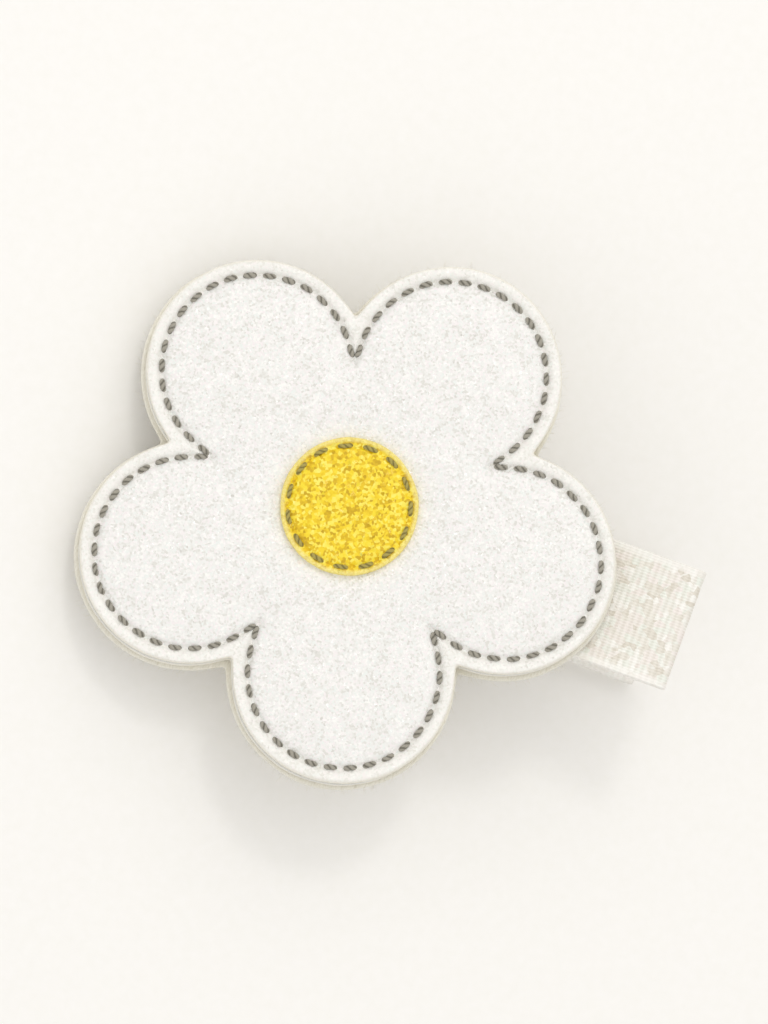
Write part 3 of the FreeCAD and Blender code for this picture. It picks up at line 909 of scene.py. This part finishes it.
# The ribbon: its section is a thin strip with a bead along both edges, over (length, round the section),
# and the outside rises and falls with the ribs.
def makeRibbon(name, upper, seed, node):
    s, x, z, outX, outZ = ribbonLine()
    half, thick = ribbon["width"] / 2, ribbon["thickness"] / 2
    flat = np.sin(np.linspace(-np.pi / 2, np.pi / 2, ribbon["flatSamples"])) * (half - thick)
    turn = np.linspace(-np.pi / 2, np.pi / 2, ribbon["edgeSamples"] + 2)[1:-1]
    edge = half - thick + thick * np.cos(turn)
    y = np.concatenate([flat, edge, flat[::-1], -edge])
    n = np.concatenate([flat * 0 + thick, -thick * np.sin(turn), flat * 0 - thick, thick * np.sin(turn)])
    bead = np.exp(-(((half - np.abs(y)) / ribbon["selvedgeWidth"]) ** 2))
    rib = 0.5 - 0.5 * np.cos(2 * np.pi * s / ribbon["ribPitch"])
    lowered = ribbon["selvedge"] * (1 - bead) + ribbon["ribHeight"] * (1 - bead) * (1 - rib)[:, None]
    offset = n - np.sign(n) * lowered * (np.abs(n) > thick * 0.5)
    fromEnd = easeStep(0, ribbon["endReach"], np.minimum(s, s[-1] - s))
    offset = offset * (ribbon["endThickness"] + (1 - ribbon["endThickness"]) * fromEnd)[:, None]
    width = y * (1 + ribbon["edgeWander"] * wavyNoise(s, s * 0, seed, 6) / half)[:, None]
    points = np.stack([x[:, None] + outX[:, None] * offset, width, z[:, None] + outZ[:, None] * offset], -1)
    rows, columns = offset.shape
    first = np.arange(columns)
    last = first + (rows - 1) * columns
    # The lower jaw is mirrored, so its faces run the other way round.
    faces = (gridFaces(rows, columns)[:, ::-1] if upper else gridFaces(rows, columns)).tolist()
    faces += [first.tolist(), last[::-1].tolist()] if upper else [first[::-1].tolist(), last.tolist()]
    uv = np.stack([np.broadcast_to(s[:, None], offset.shape), np.broadcast_to(y, offset.shape)], -1)
    body = "upper_jaw" if upper else "lower_jaw"
    piece = makePiece(name, jawToRow(points.reshape(-1, 3), upper), faces, ribbonFinish, body, uv=uv)
    standFor(node)


makeRibbon("upperRibbon", True, 41, "upper_ribbon")
makeRibbon("lowerRibbon", False, 42, "lower_ribbon")
print("ribbons made")

spring = {
    "wire": 0.35,  # half its thickness
    "coil": 1.6,
    "pitch": 0.78,
    "turns": 4,
    "legReach": 6.6,
    "legClear": 0.02,
    "endTaper": 0.6,
    "sides": 16,
    "coilSamples": 220,
    "legSamples": 24,
    "bendHalf": 1.7,  # the coil bends between these places either side of the middle
}


# The spring's wire: a leg along a tangent of the coil, a helix round the pin (x = r cos a, z = -r sin a,
# y grows with a), and the other leg's tangent. Sampled by length, with a tube round it.
def makeSpring():
    radius = spring["coil"]
    drop = steelTop - lever["gauge"] - spring["wire"] - spring["legClear"]
    reach = math.hypot(spring["legReach"], drop)
    legAngle = math.atan2(drop, spring["legReach"]) - math.asin(radius / reach)
    legLength = math.sqrt(reach**2 - radius**2)
    lowerTouch = -math.pi / 2 - legAngle
    upperTouch = math.pi / 2 + legAngle + abs(flowerTilt)
    turned = 2 * math.pi * spring["turns"] + (2 * math.pi + lowerTouch - upperTouch)
    rise = spring["pitch"] / (2 * math.pi)
    angle = np.linspace(0, turned, spring["coilSamples"])
    coil = np.stack([radius * np.cos(angle), radius * np.sin(angle), rise * angle], -1)
    share = np.linspace(1, 0, spring["legSamples"])[:-1, None] * legLength
    startWay = np.array([0.0, -1.0, -rise / radius])
    endWay = np.array([-math.sin(turned), math.cos(turned), rise / radius])
    line = np.concatenate([coil[:1] + startWay * share, coil, coil[-1:] + endWay * share[::-1]])
    # The helix's axis goes from z to y, and its angle turns so that the first leg meets the lower lever.
    x, y, z = line[:, 0], line[:, 2] - rise * turned / 2, -line[:, 1]
    cosine, sine = math.cos(-lowerTouch), math.sin(-lowerTouch)
    line = np.stack([x * cosine + z * sine, y, z * cosine - x * sine], -1)
    ends = np.ones(len(line))
    ends[[0, -1]] = spring["endTaper"]
    points, faces = tubes(line[None], spring["wire"] * ends, spring["sides"], [0.0, 1.0, 0.0])
    return makePiece("torsionSpring", hingePoint + points * mm, faces, springSteel, None)


torsionSpring = makeSpring()
standFor("torsion_spring")
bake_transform(torsionSpring)
print("spring made")

glue = {
    "start": -9.5,
    "end": 13.5,
    "width": 8.0,
    "squareness": 5.0,
    "bulge": 0.3,
    "wobble": 0.45,
    "overlap": 0.05,
    "rows": 9,
    "columns": 240,
}


# The glue patch: a wavy rounded rectangle over (level, angle) whose sides bulge between ribbon and felt.
# Its edge is where |x/half length| and |y/half width|, each to the squareness, add up to 1.
def makeGlue():
    angle = np.arange(glue["columns"]) * 2 * np.pi / glue["columns"]
    half = (glue["end"] - glue["start"]) / 2, glue["width"] / 2
    power = glue["squareness"]
    cosine, sine = np.cos(angle), np.sin(angle)
    edge = (np.abs(cosine / half[0]) ** power + np.abs(sine / half[1]) ** power) ** (-1 / power)
    edge = edge + glue["wobble"] * wavyNoise(edge * cosine, edge * sine, 51, 9, 2) - glue["wobble"]
    low, high = level["flower_glue"]
    low, high = low - glue["overlap"], high + glue["overlap"]
    rise = np.linspace(0, 1, glue["rows"])[:, None]
    radius = edge + glue["bulge"] * np.sin(np.pi * rise)
    x = radius * cosine + (glue["start"] + glue["end"]) / 2
    z = np.broadcast_to(low + (high - low) * rise, x.shape)
    points = np.stack([x, radius * sine, z], -1).reshape(-1, 3)
    first = np.arange(glue["columns"])
    last = first + (glue["rows"] - 1) * glue["columns"]
    faces = gridFaces(glue["rows"], glue["columns"]).tolist() + [first[::-1].tolist(), last.tolist()]
    return makePiece("flowerGlue", flowerToRow(points), faces, glueFinish)


flowerGlue = makeGlue()
standFor("flower_glue")
print("glue made")


# A metal part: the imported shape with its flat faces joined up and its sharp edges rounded.
def makeMetal(name, node, body, finish):
    mesh = frame["nodes"][node].data.copy()
    mesh.name = name
    mesh.materials.clear()
    mesh.materials.append(finish)
    shape = bmesh.new()
    shape.from_mesh(mesh)
    bmesh.ops.remove_doubles(shape, verts=shape.verts, dist=1e-7)
    bmesh.ops.dissolve_limit(shape, angle_limit=math.radians(1), verts=shape.verts, edges=shape.edges)
    shape.to_mesh(mesh)
    shape.free()
    mesh.polygons.foreach_set("use_smooth", np.ones(len(mesh.polygons), bool))
    piece = newObject(name, mesh)
    rounding = piece.modifiers.new("rounding", "BEVEL")
    rounding.width = lever["edgeWidth"] * mm
    rounding.segments = lever["edgeSegments"]
    rounding.limit_method = "ANGLE"
    rounding.angle_limit = math.radians(lever["edgeAngle"])
    rounding.harden_normals = True
    flats = piece.modifiers.new("flats", "WEIGHTED_NORMAL")
    flats.keep_sharp = True
    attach(piece, body)
    standFor(node)


makeMetal("upperLever", "upper_lever", "upper_jaw", leverSteel)
makeMetal("lowerLever", "lower_lever", "lower_jaw", leverSteel)
makeMetal("hingePin", "hinge_pin", "lower_jaw", rivetSteel)
print("levers and rivet made")

view = {
    "distance": 300.0,
    "footRight": 1.6,  # the camera's foot on the flower's plane, in mm right and up from its middle
    "footUp": -18.0,
    "aimRight": 2.6,
    "aimUp": -0.4,
    "turn": 20.0,  # degrees from the clip's length to the view's right
    "frameHeight": 77.0,
    "sensor": 36.0,
}
turn = math.radians(view["turn"])
viewRight = alongClip * math.cos(turn) + across * math.sin(turn)
viewUp = across * math.cos(turn) - alongClip * math.sin(turn)
aim = flowerOrigin + (viewRight * view["aimRight"] + viewUp * view["aimUp"]) * mm
eye = flowerOrigin + (
    viewRight * view["footRight"] + viewUp * view["footUp"] + outward * view["distance"]) * mm
away = (eye - aim) / np.linalg.norm(eye - aim)
sideAxis = np.cross(viewUp, away)
sideAxis /= np.linalg.norm(sideAxis)
topAxis = np.cross(away, sideAxis)
cameraData = bpy.data.cameras.new("camera")
cameraData.sensor_width = view["sensor"]
cameraData.lens = view["sensor"] * np.linalg.norm(eye - aim) / mm / view["frameHeight"]
cameraData.clip_start = 0.01
camera = newObject("camera", cameraData)
placement = np.eye(4)
placement[:3, 0], placement[:3, 1], placement[:3, 2], placement[:3, 3] = sideAxis, topAxis, away, eye
camera.matrix_world = Matrix(placement.tolist())
bpy.context.scene.camera = camera

studio = {
    "floorColour": "FAF8F4",
    "floorHalf": 6.0,
    "worldColour": "FFFEFD",
    "worldStrength": 0.93,
    "worldLow": 0.6,  # the light from the horizon and below, as a share of that from above
    "keyPower": 0.75,
    "keySize": 0.6,
    "fillSize": 0.6,
    "fillPower": 0.4,
    "glintSize": 0.08,
    "glintPower": 0.32,
}


# A soft area light standing off from the flower, in metres right, up and out, and turned to face it.
def addLight(name, offset, size, power, colour):
    data = bpy.data.lights.new(name, "AREA")
    data.shape = "SQUARE"
    data.size = size
    data.energy = power
    data.color = linearColour(colour)[:3]
    light = newObject(name, data)
    place = flowerOrigin + viewRight * offset[0] + viewUp * offset[1] + outward * offset[2]
    light.location = place
    light.rotation_euler = Vector(place - flowerOrigin).to_track_quat("Z", "Y").to_euler()


floorMesh = bpy.data.meshes.new("floor")
side = studio["floorHalf"]
corners = [(-side, -side, 0), (side, -side, 0), (side, side, 0), (-side, side, 0)]
floorMesh.from_pydata(corners, [], [(0, 1, 2, 3)])
floor = newObject("floor", floorMesh)
# Matt white card: a trace of cloudy grain keeps the floor from looking like flat paint.
paper = newMaterial("matWhiteCard")
paperGrain = noiseNode(paper, millimetreSpace(paper), 1.2, 5.0, 0.6)
paperColour = colourRamp(paper, paperGrain, ((0.3, "F8F6F1"), (0.7, studio["floorColour"])))
finishMaterial(paper, {"Base Color": paperColour, "Roughness": 0.85})
floorMesh.materials.append(paper)

addLight("keyLight", (0.30, 0.42, 0.62), studio["keySize"], studio["keyPower"], "FFFDF8")
addLight("fillLight", (-0.55, -0.2, 0.6), studio["fillSize"], studio["fillPower"], "F8FAFF")
addLight("glintLight", (0.16, 0.3, 0.5), studio["glintSize"], studio["glintPower"], "FFFFFF")
world = bpy.data.worlds.new("studioWorld")
world.use_nodes = True
bpy.context.scene.world = world
background = world.node_tree.nodes["Background"]
skyPlace = addNode(world, "ShaderNodeTexCoord").outputs["Generated"]
skyHeight = addNode(world, "ShaderNodeSeparateXYZ", inputs={0: skyPlace}).outputs[2]
skyLow = studio["worldLow"] * studio["worldStrength"]
skyStrength = rangeNode(world, skyHeight, -0.1, 0.75, skyLow, studio["worldStrength"])
background.inputs["Color"].default_value = linearColour(studio["worldColour"])
world.node_tree.links.new(skyStrength, background.inputs["Strength"])
bpy.context.scene.view_settings.view_transform = "Standard"

print("scene complete")
